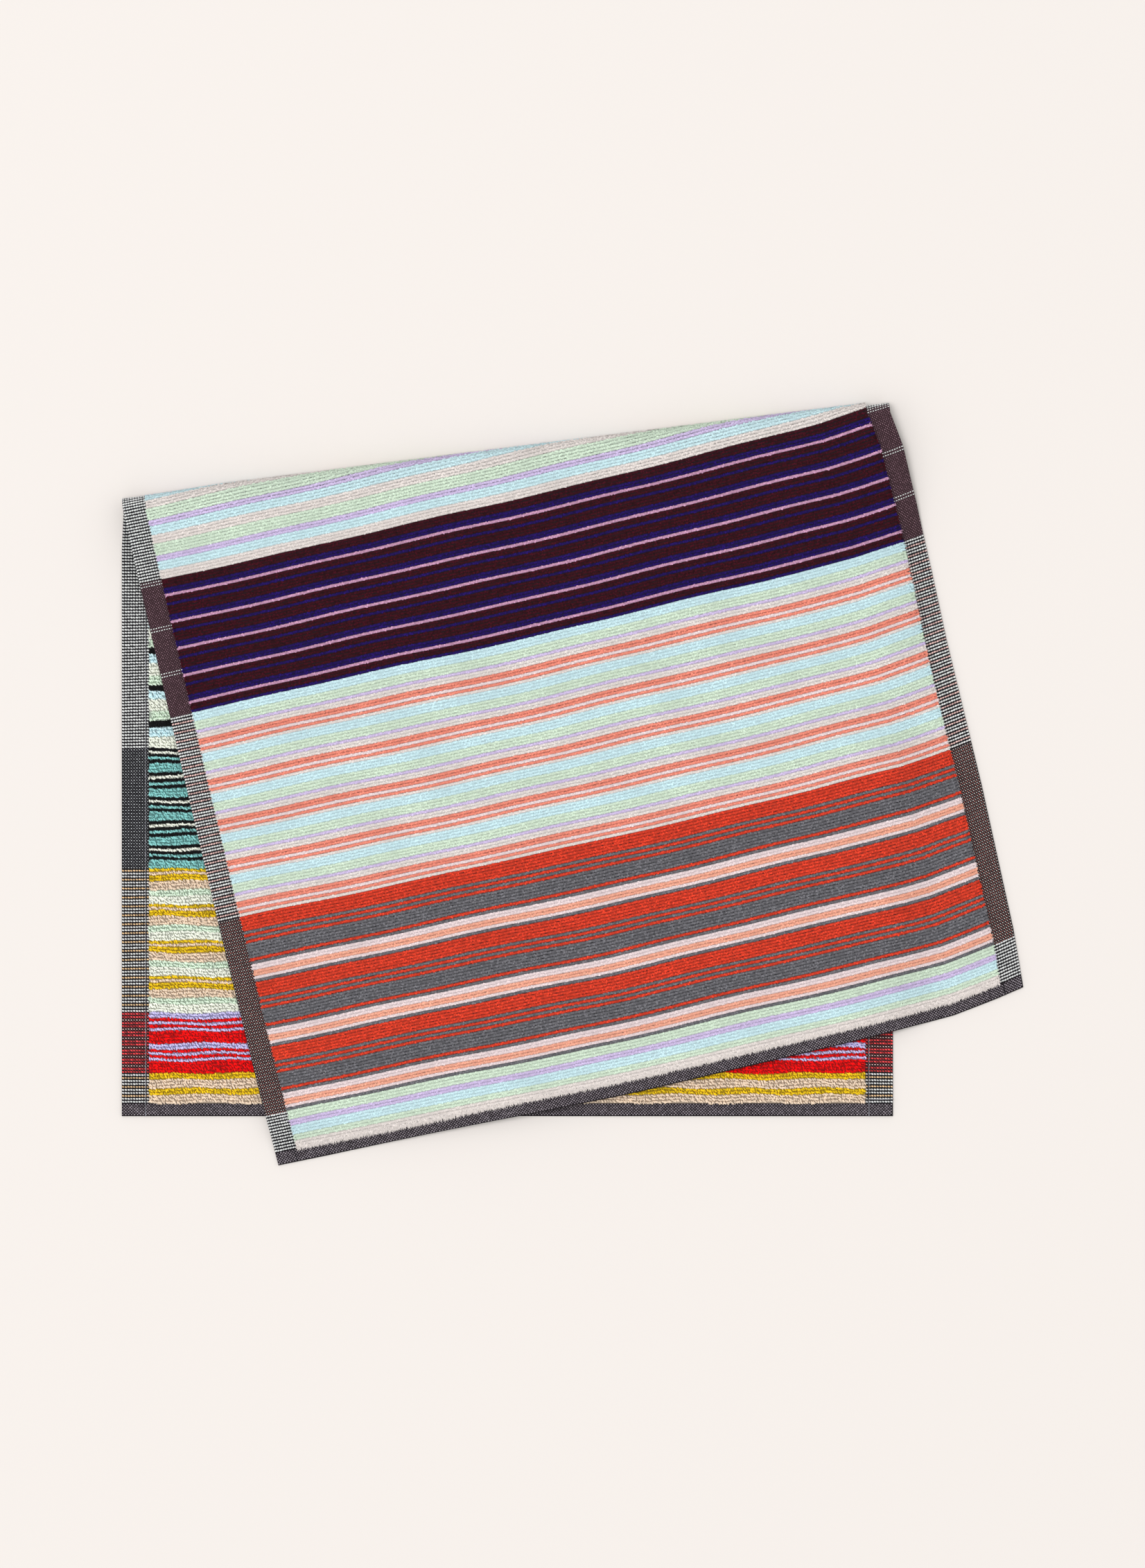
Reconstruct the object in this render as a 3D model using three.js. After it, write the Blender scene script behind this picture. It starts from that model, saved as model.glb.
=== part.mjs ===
// A guest towel in cotton terry, folded once and laid on a table.
// It is one cloth with a pile panel, a flat-woven border down each long side and a narrow hem at each
// end. The fold runs on a slant, so the upper flap lies turned on the lower layer and hangs past its
// right and bottom edges, where it comes down to the table.
// Millimetres, +Z up. The origin is on the table, under the middle of the folded towel.
import * as THREE from "three";

// The cloth, before it is folded
const clothWidth = 400;
const borderWidth = 13;
const hemDepth = 6.7;
const pileThickness = 4.2;
const bandThickness = 1.8;
const shoulder = 1.5; // the pile rises to its full height over this width beside a band

// The lower layer, square to the axes
const lowerLengthLeft = 315;
const lowerLengthRight = 365;

// The fold: a half turn round a level axis that slants across the cloth
const foldRadius = 5;
const foldDrop = 70; // the flap settles from the fold's height over this length
const turnedBy = 1.25; // a border has changed sides this many fold lengths on from the fold's start

// The flap, turned clockwise, with its hem sagging towards the right
const flapTurn = THREE.MathUtils.degToRad(12.8);
const flapLengthLeft = 349.7;
const flapLengthRight = 305.7;
const hemSag = [
  { across: -200, sag: 0 },
  { across: -95, sag: 3.4 },
  { across: -10, sag: 6.2 },
  { across: 110, sag: 6.8 },
  { across: 160, sag: 6.0 },
  { across: 184, sag: 2.8 },
  { across: 200, sag: 0 },
];

// How far the flap's two sides stray to the right of straight ones, by the share of the way down
const sideStray = [
  { share: 0, left: 0.9, right: -1.6 },
  { share: 0.06, left: 0.7, right: 1.1 },
  { share: 0.16, left: 0.5, right: 1.8 },
  { share: 0.4, left: 0.8, right: 1.0 },
  { share: 0.65, left: 1.4, right: 2.1 },
  { share: 0.9, left: 2.8, right: 1.6 },
  { share: 1, left: 3.8, right: -0.1 },
];

// How the flap lies: clear of the layer below it, and down to the table past that layer's edges
const layerGap = 0.8;
const dropStart = -2;
const dropEnd = 20;

// Broad soft waves that stay in the flap, a row for each
const flapWaves = [
  { length: 190, heading: 62, phase: 0.4, height: 0.5 },
  { length: 125, heading: 108, phase: 2.1, height: 0.3 },
];

// The mesh's spacing
const gridStep = 12;
const foldSteps = 10;
const lowerSteps = 5;
const slopeProbe = 0.25;
const edgeTolerance = 0.01;

const half = clothWidth / 2;
const slant = Math.atan2(lowerLengthRight - lowerLengthLeft, clothWidth);
const alongFold = new THREE.Vector3(Math.cos(slant), Math.sin(slant), 0);
const acrossFold = new THREE.Vector3(-Math.sin(slant), Math.cos(slant), 0);
const flapHeading = new THREE.Vector3(Math.sin(flapTurn), -Math.cos(flapTurn), 0);
const foldLength = (Math.PI * foldRadius) / Math.cos(slant);
const restHeight = pileThickness / 2;
const foldTop = restHeight + 2 * foldRadius;

const { lerp, smoothstep } = THREE.MathUtils;
const shareAcross = (across) => (across + half) / clothWidth;
const lowerLength = (across) => lerp(lowerLengthLeft, lowerLengthRight, shareAcross(across));

// A column of a table at a place between its rows, on a straight line from row to row
function readTable(table, key, place, column) {
  const next = table.findIndex((row, i) => i > 0 && (place <= row[key] || i === table.length - 1));
  const [a, b] = [table[next - 1], table[next]];
  return lerp(a[column], b[column], (place - a[key]) / (b[key] - a[key]));
}

const flapLength = (across) =>
  lerp(flapLengthLeft, flapLengthRight, shareAcross(across)) +
  readTable(hemSag, "across", across, "sag");

// How far a place on the table lies outside the lower layer, below zero inside it
const outside = (x, y) => Math.max(x - half, -x - half, -y);

function waveAt(x, y) {
  return flapWaves.reduce((sum, wave) => {
    const heading = THREE.MathUtils.degToRad(wave.heading);
    const along = x * Math.cos(heading) + y * Math.sin(heading);
    const turn = (2 * Math.PI * along) / wave.length + wave.phase;
    return sum + wave.height * (1 + Math.sin(turn));
  }, 0);
}

// Height of the flap's middle over a place, where it has come a length down from the fold
function flapHeight(x, y, down) {
  const onCloth = pileThickness + layerGap + restHeight + waveAt(x, y);
  const settled = lerp(onCloth, restHeight, smoothstep(outside(x, y), dropStart, dropEnd));
  return lerp(foldTop, settled, smoothstep(down, 0, foldDrop));
}

// The cloth's middle surface: a place across the cloth, and a length from the lower layer's hem
function middleAt(across, length) {
  const lower = lowerLength(across);
  const point = new THREE.Vector3(across, lower, 0);
  if (length <= lower) return point.set(across, length, restHeight);
  const past = Math.min((length - lower) / foldLength, 1);
  const down = Math.max(length - lower - foldLength, 0);
  const share = Math.min(down / flapLength(across), 1);
  const stray = lerp(
    readTable(sideStray, "share", share, "left"),
    readTable(sideStray, "share", share, "right"),
    shareAcross(across),
  );
  point.addScaledVector(alongFold, stray * past);
  if (past < 1) {
    point.addScaledVector(acrossFold, foldRadius * Math.sin(past * Math.PI));
    return point.setZ(restHeight + foldRadius * (1 - Math.cos(past * Math.PI)));
  }
  point.addScaledVector(flapHeading, down);
  return point.setZ(flapHeight(point.x, point.y, down));
}

// The way that the cloth's face side points: down under the lower layer, up on the flap
function faceSide(across, length) {
  const eastward = middleAt(across + slopeProbe, length).sub(middleAt(across - slopeProbe, length));
  const onward = middleAt(across, length + slopeProbe).sub(middleAt(across, length - slopeProbe));
  return eastward.cross(onward).negate().normalize();
}

// Whether a point of the mesh belongs to a border or a hem, their inner edges included
const isBand = (across, length) =>
  Math.abs(across) > half - borderWidth - edgeTolerance ||
  length < hemDepth + edgeTolerance ||
  length > lowerLength(across) + foldLength + flapLength(across) - hemDepth - edgeTolerance;

// Heights of both sides over the middle surface. The thin bands lie on what is under the cloth.
function sidesAt(across, length) {
  if (!isBand(across, length)) return { face: restHeight, back: -restHeight };
  const towardsFace = restHeight - bandThickness;
  const onTable = { face: restHeight, back: towardsFace };
  const turned = smoothstep(length - lowerLength(across), -foldLength, foldLength * turnedBy);
  return {
    face: lerp(onTable.face, -towardsFace, turned),
    back: lerp(onTable.back, -restHeight, turned),
  };
}

// Even steps from one value to another, both ends left in
function steps(from, to, count) {
  return Array.from({ length: count + 1 }, (_, i) => lerp(from, to, i / count));
}

// The mesh's columns, from the left edge to the right
function columns() {
  const panel = half - borderWidth - shoulder;
  const count = Math.round((2 * panel) / gridStep);
  return [-half, -half + borderWidth, ...steps(-panel, panel, count), half - borderWidth, half];
}

// The mesh's rows at one column, as lengths from the lower hem to the flap's hem
function rows(across) {
  const lower = lowerLength(across);
  const flap = lower + foldLength;
  const end = flap + flapLength(across);
  const flapPanel = end - hemDepth - shoulder;
  const flapSteps = Math.round(flapLengthLeft / gridStep);
  return [
    0,
    hemDepth,
    ...steps(hemDepth + shoulder, lower, lowerSteps),
    ...steps(lower, flap, foldSteps).slice(1, -1),
    ...steps(flap, flapPanel, flapSteps),
    end - hemDepth,
    end,
  ];
}

// Both sides of the cloth on one grid, joined round the rim into a closed body
function clothGeometry() {
  const acrossAll = columns();
  const rowCount = rows(0).length;
  const positions = [];
  const indices = [];
  for (const across of acrossAll)
    for (const length of rows(across)) {
      const middle = middleAt(across, length);
      const normal = faceSide(
        THREE.MathUtils.clamp(across, -half + slopeProbe, half - slopeProbe),
        length,
      );
      const sides = sidesAt(across, length);
      positions.push(...middle.clone().addScaledVector(normal, sides.face).toArray());
      positions.push(...middle.clone().addScaledVector(normal, sides.back).toArray());
    }

  const face = (column, row) => 2 * (column * rowCount + row);
  const back = (column, row) => face(column, row) + 1;
  const quad = (a, b, c, d) => indices.push(a, b, c, a, c, d);
  const lastColumn = acrossAll.length - 1;
  const lastRow = rowCount - 1;
  for (let c = 0; c < lastColumn; c++)
    for (let r = 0; r < lastRow; r++) {
      quad(face(c, r), face(c, r + 1), face(c + 1, r + 1), face(c + 1, r));
      quad(back(c, r), back(c + 1, r), back(c + 1, r + 1), back(c, r + 1));
    }
  for (let c = 0; c < lastColumn; c++) {
    quad(face(c, 0), face(c + 1, 0), back(c + 1, 0), back(c, 0));
    quad(face(c, lastRow), back(c, lastRow), back(c + 1, lastRow), face(c + 1, lastRow));
  }
  for (let r = 0; r < lastRow; r++) {
    quad(face(0, r), back(0, r), back(0, r + 1), face(0, r + 1));
    quad(
      face(lastColumn, r),
      face(lastColumn, r + 1),
      back(lastColumn, r + 1),
      back(lastColumn, r),
    );
  }

  const geometry = new THREE.BufferGeometry();
  geometry.setAttribute("position", new THREE.Float32BufferAttribute(positions, 3));
  geometry.setIndex(indices);
  geometry.computeVertexNormals();
  return geometry;
}

const cottonTerry = new THREE.MeshStandardMaterial({
  color: 0xc4a7a4,
  roughness: 0.95,
  metalness: 0,
});

const towel = new THREE.Mesh(clothGeometry(), cottonTerry);
towel.name = "towel";

// The origin goes under the middle of the folded towel, at the table
const box = new THREE.Box3().setFromObject(towel);
const middle = box.getCenter(new THREE.Vector3());
towel.position.set(-middle.x, -middle.y, -box.min.z);

const foldedTowel = new THREE.Group();
foldedTowel.name = "folded_guest_towel";
foldedTowel.add(towel);

export default foldedTowel;
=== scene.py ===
import math

import bpy
import numpy as np
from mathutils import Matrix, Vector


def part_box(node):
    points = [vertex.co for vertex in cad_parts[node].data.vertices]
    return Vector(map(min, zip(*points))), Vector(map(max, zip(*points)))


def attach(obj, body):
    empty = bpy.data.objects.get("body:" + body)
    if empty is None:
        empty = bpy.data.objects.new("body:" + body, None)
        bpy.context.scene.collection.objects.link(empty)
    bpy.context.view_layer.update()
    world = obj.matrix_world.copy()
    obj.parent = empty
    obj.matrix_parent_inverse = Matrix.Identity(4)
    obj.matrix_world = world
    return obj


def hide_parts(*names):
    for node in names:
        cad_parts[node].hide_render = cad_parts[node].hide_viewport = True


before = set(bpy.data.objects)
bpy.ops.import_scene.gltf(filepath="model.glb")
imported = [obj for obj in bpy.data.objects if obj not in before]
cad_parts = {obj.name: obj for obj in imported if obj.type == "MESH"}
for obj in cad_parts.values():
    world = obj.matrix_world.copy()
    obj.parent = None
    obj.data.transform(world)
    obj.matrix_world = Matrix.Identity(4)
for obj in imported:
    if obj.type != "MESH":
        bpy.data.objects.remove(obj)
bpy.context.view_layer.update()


# The view: a camera straight above the towel, as far off as a long lens needs. The floor is plain and
# pale, and the light is one wide soft panel overhead with a bright room round it, so shadows are faint.
VIEW_TALL = 0.8134
CAMERA_HEIGHT = 6.0
CAMERA_SENSOR = 36.0
FLOOR_COLOUR = (0.8, 0.753, 0.717, 1)
FLOOR_SIZE = 30.0
FLOOR_DROP = 0.0001
ROOM_LIGHT = 0.68
PANEL_WATTS = 258.0
PANEL_SIZE = 3.2
PANEL_PLACE = (-1.2, 0.5, 6.8)


def placed(name, data):
    made = bpy.data.objects.new(name, data)
    bpy.context.collection.objects.link(made)
    return made


def fill_inputs(node, inputs):
    """Sets each named input of a node, or links it where its value is another node's output."""
    for key, value in inputs.items():
        if isinstance(value, bpy.types.NodeSocket):
            node.id_data.links.new(value, node.inputs[key])
        else:
            node.inputs[key].default_value = value


camera_data = bpy.data.cameras.new("camera")
camera_data.sensor_fit = "VERTICAL"
camera_data.sensor_height = CAMERA_SENSOR
camera_data.lens = CAMERA_SENSOR * CAMERA_HEIGHT / VIEW_TALL
camera = placed("camera", camera_data)
camera.location = (0, 0, CAMERA_HEIGHT)
scene = bpy.context.scene
scene.camera = camera
scene.view_settings.view_transform = "Standard"

panel_data = bpy.data.lights.new("soft_panel", "AREA")
panel_data.shape = "SQUARE"
panel_data.size = PANEL_SIZE
panel_data.energy = PANEL_WATTS
panel = placed("soft_panel", panel_data)
panel.location = PANEL_PLACE
panel.rotation_euler = (-panel.location).to_track_quat("-Z", "Y").to_euler()

room = bpy.data.worlds.new("room")
room.use_nodes = True
fill_inputs(room.node_tree.nodes["Background"], {"Color": (1, 1, 1, 1), "Strength": ROOM_LIGHT})
scene.world = room

bpy.ops.mesh.primitive_plane_add(size=FLOOR_SIZE, location=(0, 0, -FLOOR_DROP))
floor = bpy.context.object
floor.name = "floor"
floor_paint = bpy.data.materials.new("floor_paint")
floor_paint.use_nodes = True
floor_shader = floor_paint.node_tree.nodes["Principled BSDF"]
fill_inputs(floor_shader, {"Base Color": FLOOR_COLOUR, "Roughness": 0.9, "Specular IOR Level": 0.1})
floor.data.materials.append(floor_paint)


# The cloth: one length of terry, 400 mm wide, folded once on a slant. The lower layer lies square with
# its looped back up, and the upper flap turns to the right with its velour face up and hangs past the
# lower layer to the table. All in millimetres from the lower hem's middle, moved to the frame at the end.
MM = 0.001
CLOTH_WIDTH = 400.0
BORDER_WIDTH = 13.0
HEM_DEPTH = 6.7
PILE_THICKNESS = 4.2
BAND_THICKNESS = 1.8
LOWER_LEFT, LOWER_RIGHT = 315.0, 365.0
FOLD_RADIUS = 5.0
FOLD_DROP = 70.0
TURNED_BY = 1.25
DRAWN_IN = 24.0  # the lower layer's sides are drawn in with the fold over this length
FLAP_TURN = math.radians(12.8)
FLAP_LEFT, FLAP_RIGHT = 349.7, 305.7
# A place across the cloth, and how far the flap's hem sags there
HEM_SAG = ((-200, 0), (-95, 3.4), (-10, 6.2), (110, 6.8), (160, 6.0), (184, 2.8), (200, 0))
# A share of the way down the flap, and how far its left side and its right side stray to the right
SIDE_STRAY = (
    (0, 0.9, -1.6),
    (0.06, 0.7, 1.1),
    (0.16, 0.5, 1.8),
    (0.4, 0.8, 1.0),
    (0.65, 1.4, 2.1),
    (0.9, 2.8, 1.6),
    (1, 3.8, -0.1),
)
LAYER_GAP = 0.8
DROP_START, DROP_END = -2.0, 20.0
FLAP_WAVES = ((190, 62, 0.4, 0.5), (125, 108, 2.1, 0.3))  # length, heading, phase, height
PROBE = 0.25  # a short step over the cloth that gives its slope

HALF = CLOTH_WIDTH / 2
PANEL_HALF = HALF - BORDER_WIDTH
SLANT = math.atan2(LOWER_RIGHT - LOWER_LEFT, CLOTH_WIDTH)
ALONG_FOLD = (math.cos(SLANT), math.sin(SLANT))
ACROSS_FOLD = (-math.sin(SLANT), math.cos(SLANT))
FLAP_HEADING = (math.sin(FLAP_TURN), -math.cos(FLAP_TURN))
FOLD_LENGTH = math.pi * FOLD_RADIUS / math.cos(SLANT)
REST = PILE_THICKNESS / 2


def between(a, b, share):
    return a + (b - a) * share


def eased(value, start, end):
    share = np.clip((value - start) / (end - start), 0, 1)
    return share * share * (3 - 2 * share)


def read_column(table, place, column):
    return np.interp(place, [row[0] for row in table], [row[column] for row in table])


def share_across(across):
    return (across + HALF) / CLOTH_WIDTH


def lower_length(across):
    return between(LOWER_LEFT, LOWER_RIGHT, share_across(across))


def flap_length(across):
    return between(FLAP_LEFT, FLAP_RIGHT, share_across(across)) + read_column(HEM_SAG, across, 1)


def whole_length(across):
    return lower_length(across) + FOLD_LENGTH + flap_length(across)


def fold_lengths(across, length):
    """How far past the fold's start a place is, measured in lengths of the fold's turn."""
    return (length - lower_length(across)) / FOLD_LENGTH


def flap_height(x, y, down):
    waves = 0
    for length, heading, phase, height in FLAP_WAVES:
        along = x * math.cos(math.radians(heading)) + y * math.sin(math.radians(heading))
        waves = waves + height * (1 + np.sin(2 * math.pi * along / length + phase))
    on_cloth = PILE_THICKNESS + LAYER_GAP + REST + waves
    outside = np.maximum(np.maximum(x - HALF, -x - HALF), -y)
    settled = between(on_cloth, REST, eased(outside, DROP_START, DROP_END))
    return between(REST + 2 * FOLD_RADIUS, settled, eased(down, 0, FOLD_DROP))


def middle_at(across, length):
    """The cloth's middle surface at places across the cloth and lengths from the lower hem."""
    across, length = np.broadcast_arrays(np.asarray(across, float), np.asarray(length, float))
    lower = lower_length(across)
    past = np.clip(fold_lengths(across, length), 0, 1)
    down = np.maximum(length - lower - FOLD_LENGTH, 0)
    share = np.minimum(down / flap_length(across), 1)
    left, right = read_column(SIDE_STRAY, share, 1), read_column(SIDE_STRAY, share, 2)
    drawn_in = eased(length - lower, -DRAWN_IN, 0)
    stray = between(left, right, share_across(across)) * drawn_in
    bulge = np.where(past < 1, FOLD_RADIUS * np.sin(past * math.pi), 0)
    x = across + ALONG_FOLD[0] * stray + ACROSS_FOLD[0] * bulge + FLAP_HEADING[0] * down
    y = np.minimum(length, lower) + ALONG_FOLD[1] * stray + ACROSS_FOLD[1] * bulge
    y = y + FLAP_HEADING[1] * down
    turn = REST + FOLD_RADIUS * (1 - np.cos(past * math.pi))
    return np.stack([x, y, np.where(past < 1, turn, flap_height(x, y, down))], -1)


def unit(vectors):
    return vectors / np.linalg.norm(vectors, axis=-1, keepdims=True)


def directions_at(across, length):
    """Unit directions along a row of the weave, along the cloth, and out of its face side."""
    across = np.clip(across, -HALF + PROBE, HALF - PROBE)
    eastward = middle_at(across + PROBE, length) - middle_at(across - PROBE, length)
    onward = middle_at(across, length + PROBE) - middle_at(across, length - PROBE)
    return unit(eastward), unit(onward), unit(-np.cross(eastward, onward))


def band_sides(across, length):
    """Heights of a thin band's face and back over the middle surface: it lies on what is under it."""
    towards_face = REST - BAND_THICKNESS
    turned = eased(length - lower_length(across), -FOLD_LENGTH, FOLD_LENGTH * TURNED_BY)
    return between(REST, -towards_face, turned), between(towards_face, -REST, turned)


# Rows of the weave are counted on the pile panel, from the lower hem to the flap's hem
PANEL_ROWS = 428
ROW_DRIFT = ((0.15, 27, 19, 0), (0.14, 12.5, -13, 1))  # rows, millimetres and rows a radian, phase
HEM_HOLD = 12  # rows beside a hem, where the drift dies away
SETTLING_STEPS = 5


def drift(across, row):
    """How many rows a row strays from a straight line: the cloth gives a little, except at the hems."""
    waves = 0
    for rows, wave_across, wave_along, phase in ROW_DRIFT:
        waves = waves + rows * np.sin(across / wave_across + row / wave_along + phase)
    return waves * np.clip(np.minimum(row, PANEL_ROWS - row) / HEM_HOLD, 0, 1)


def row_length(across, row):
    row = np.asarray(row, float)
    panel = whole_length(across) - 2 * HEM_DEPTH
    return HEM_DEPTH + panel * (row + drift(across, row)) / PANEL_ROWS


def row_at(across, length):
    straight = (length - HEM_DEPTH) / (whole_length(across) - 2 * HEM_DEPTH) * PANEL_ROWS
    row = straight
    for _ in range(SETTLING_STEPS):
        row = straight - drift(across, row)
    return row


# The frame's origin lies under the middle of the folded towel, so the cloth's box is put on the CAD's
BOX_COLUMNS, BOX_ROWS = 161, 1201
across_grid, length_grid = np.meshgrid(np.linspace(-HALF, HALF, BOX_COLUMNS), np.linspace(0, 1, BOX_ROWS))
length_grid = length_grid * whole_length(across_grid)
panel_here = (abs(across_grid) < PANEL_HALF) & (length_grid > HEM_DEPTH)
panel_here &= length_grid < whole_length(across_grid) - HEM_DEPTH
out_grid = directions_at(across_grid, length_grid)[2]
band_face, band_back = band_sides(across_grid, length_grid)
reach = [
    middle_at(across_grid, length_grid) + out_grid * np.where(panel_here, pile, band)[..., None]
    for pile, band in ((REST, band_face), (-REST, band_back))
]
reach = np.concatenate(reach).reshape(-1, 3)
cad_low, cad_high = (np.array(corner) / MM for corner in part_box("towel"))
TO_FRAME = (cad_low + cad_high - reach.min(0) - reach.max(0)) / 2


def in_metres(places):
    return (np.asarray(places) + TO_FRAME) * MM


# The yarns, and the plain stripes that they are woven in. Each stripe runs straight from border to
# border, in a regular repeat: rows and yarn, from the lower hem to the flap's hem.
def yarn(red, green, blue):
    """A dyed yarn's colour, turned from the values of a screen into those of light."""
    parts = np.array([red, green, blue]) / 255
    light = np.where(parts < 0.04045, parts / 12.92, ((parts + 0.055) / 1.055) ** 2.4)
    return np.append(light, 1)


YARNS = {
    "mint": yarn(222, 240, 219),
    "aqua": yarn(215, 244, 250),
    "lilac": yarn(220, 203, 240),
    "greige": yarn(239, 230, 225),
    "pale_pink": yarn(245, 227, 228),
    "coral": yarn(252, 152, 131),
    "salmon": yarn(255, 182, 156),
    "brick": yarn(227, 68, 43),
    "slate": yarn(116, 115, 120),
    "aubergine": yarn(61, 7, 22),
    "navy": yarn(34, 12, 94),
    "mauve": yarn(211, 160, 192),
    "red": yarn(238, 6, 8),
    "violet": yarn(203, 197, 238),
    "mustard": yarn(231, 195, 26),
    "peach": yarn(236, 214, 190),
    "teal": yarn(138, 203, 200),
    "cream": yarn(243, 246, 233),
    "black": yarn(12, 10, 13),
    "white": yarn(212, 213, 212),
    "ground": yarn(30, 29, 32),
    "grey": yarn(118, 118, 124),
}

CORAL_REPEAT = "3 aqua, 3 mint, 1 lilac, 2 greige, 2 coral, 1 pale_pink, 1 coral, 1 greige"
DARK_REPEAT = "3 aubergine, 2 navy, 1 mauve, 2 aubergine, 1 navy"
BRICK_REPEAT = "5 brick, 1 slate, 1 brick, 1 slate, 1 brick, 5 slate, 1 brick, 1 slate"
BRICK_REPEAT += ", 2 pale_pink, 2 salmon, 1 pale_pink, 1 slate"
PALE_REPEAT = "4 mint, 2 lilac, 3 aqua, 3 greige"
# How often a repeat comes, the style of the border beside it, and the repeat
FACE_STRIPES = (
    (4, "light", PALE_REPEAT),
    (2, "rust", BRICK_REPEAT),
    (4, "blush", CORAL_REPEAT),
    (5, "light", PALE_REPEAT),
    (5, "plum", DARK_REPEAT),
    (5, "blush", CORAL_REPEAT),
    (3, "rust", BRICK_REPEAT),
    (1, "light", "3 mint, 2 lilac, 3 aqua, 2 mint, 3 greige"),
)
BACK_STRIPES = (
    (1, "gold", "3 peach, 2 mustard, 3 peach, 2 mustard"),
    (2, "red", "4 red, 1 violet, 1 red, 1 violet, 1 red, 2 violet"),
    (4, "gold", "3 cream, 2 mint, 3 peach, 2 mustard, 1 peach, 1 mustard"),
    (5, "night", "3 teal, 1 black, 1 teal, 1 black, 1 cream, 1 black"),
    (26, "light", "4 cream, 3 aqua, 2 black, 3 mint"),
)


def rows_of(stripes):
    """The yarn's name and the border's style in each row, counted from the first stripe."""
    rows = []
    for times, style, repeat in stripes:
        for part in repeat.split(", ") * times:
            count, name = part.split()
            rows += [(name, style)] * int(count)
    return rows


face_rows = rows_of(FACE_STRIPES)
face_rows = (face_rows[:1] * PANEL_ROWS + face_rows)[-PANEL_ROWS:]
back_rows = rows_of(BACK_STRIPES)[:PANEL_ROWS]
FACE_ROWS = np.array([YARNS[name] for name, style in face_rows])
BACK_ROWS = np.array([YARNS[name] for name, style in back_rows])


# The woven ground: cotton cloth between the pile and the loops, darkened towards a dark yarn as painted
# shade where the pile parts. Its long sides are woven flat and its ends are turned in as narrow hems.
PILE_DEPTH = 0.9
LOOP_DEPTH = 1.5
RIDGE = 0.5
FLOAT_RISE = 0.3
SHOULDER = 0.4
ROLL = 0.5
EDGE_THINNING = 0.35
PANEL_COLUMNS = 32
RIDGE_LINES = (0, 0.25, 0.75)  # lines of the mesh in a row of tufts, which is level between the last two
HEM_LINES = 5
TOLERANCE = 0.01
FIRST_TUFTS = 185
FACE_UP_START, FACE_UP_END = -14.0, -2.0  # the face comes up into sight over this length before the fold
PRESSED = 1.2  # how much flatter the pile lies round the fold, from the left border to PRESSED_TO
PRESSED_TO = -140.0
FACE_HALF, BACK_HALF = 188.0, 185.7  # the pile reaches a little further out than the loops

sheet_columns = np.array([-HALF, -HALF + ROLL, -HALF + BORDER_WIDTH / 2, -FACE_HALF, -FACE_HALF + SHOULDER])
sheet_columns = np.append(sheet_columns, -BACK_HALF)
panel_columns = np.linspace(-BACK_HALF + SHOULDER, BACK_HALF - SHOULDER, PANEL_COLUMNS)
sheet_columns = np.concatenate([sheet_columns, panel_columns, -sheet_columns[::-1]])
ridge_lines = (np.arange(FIRST_TUFTS, PANEL_ROWS)[:, None] + np.array(RIDGE_LINES)).ravel()
sheet_rows = np.concatenate([[SHOULDER], np.arange(1, FIRST_TUFTS), ridge_lines])
across_sheet, row_sheet = np.meshgrid(sheet_columns, sheet_rows, indexing="ij")
length_sheet = row_length(across_sheet, row_sheet)
hem_lines = np.append(0, np.linspace(ROLL, HEM_DEPTH, HEM_LINES))
hem_lines = np.broadcast_to(hem_lines, (len(sheet_columns), len(hem_lines)))
far_hem = whole_length(sheet_columns)[:, None] - hem_lines[:, ::-1]
length_sheet = np.concatenate([hem_lines, length_sheet, far_hem], 1)
across_sheet = np.broadcast_to(sheet_columns[:, None], length_sheet.shape)


def pressed(across, length):
    """How much flatter the pile lies round the fold, next to its left border."""
    past = fold_lengths(across, length)
    on_fold = eased(past, -0.6, 0.2) * (1 - eased(past, 0.8, 2.2))
    return PRESSED * on_fold * (1 - eased(across, -PANEL_HALF, PRESSED_TO))


def ridge_drop(across, length):
    """How far the ground falls beside a row of tufts: nothing in the row's middle, all between rows."""
    row = row_at(across, length)
    off_middle = 2 * abs(row - np.floor(row) - 0.5)
    return RIDGE * np.clip(2 * off_middle - 1, 0, 1)


def hidden(places, margin):
    """Whether places on the lower layer lie under the flap, more than a margin in from its edges."""
    x, y = places[..., 0], places[..., 1]
    middle_line = (LOWER_LEFT + LOWER_RIGHT) / 2
    rise = ALONG_FOLD[1] / ALONG_FOLD[0]
    down = (y - middle_line - rise * x) / (FLAP_HEADING[1] - rise * FLAP_HEADING[0])
    across = x - FLAP_HEADING[0] * down
    end = flap_length(np.clip(across, -HALF, HALF))
    return (abs(across) < HALF - margin) & (down < end - margin)


def ground_sides(across, length):
    """Heights of the ground's face and back over the middle surface."""
    up = eased(length - lower_length(across), FACE_UP_START, FACE_UP_END)
    face = REST - (PILE_DEPTH + ridge_drop(across, length)) * up - pressed(across, length)
    back = -(REST - LOOP_DEPTH)
    band_face, band_back = band_sides(across, length)
    band_face = band_face - FLOAT_RISE * up
    band_back = band_back + FLOAT_RISE * (1 - up)
    from_rim = np.minimum(np.minimum(HALF - abs(across), length), whole_length(across) - length)
    thinner = EDGE_THINNING * (band_face - band_back) * (1 - np.minimum(from_rim / ROLL, 1))
    hem = length < HEM_DEPTH + TOLERANCE
    hem = hem | (length > whole_length(across) - HEM_DEPTH - TOLERANCE)
    face = np.where(hem | (abs(across) > FACE_HALF - TOLERANCE), band_face - thinner, face)
    return face, np.where(hem | (abs(across) > BACK_HALF - TOLERANCE), band_back + thinner, back)


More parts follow.
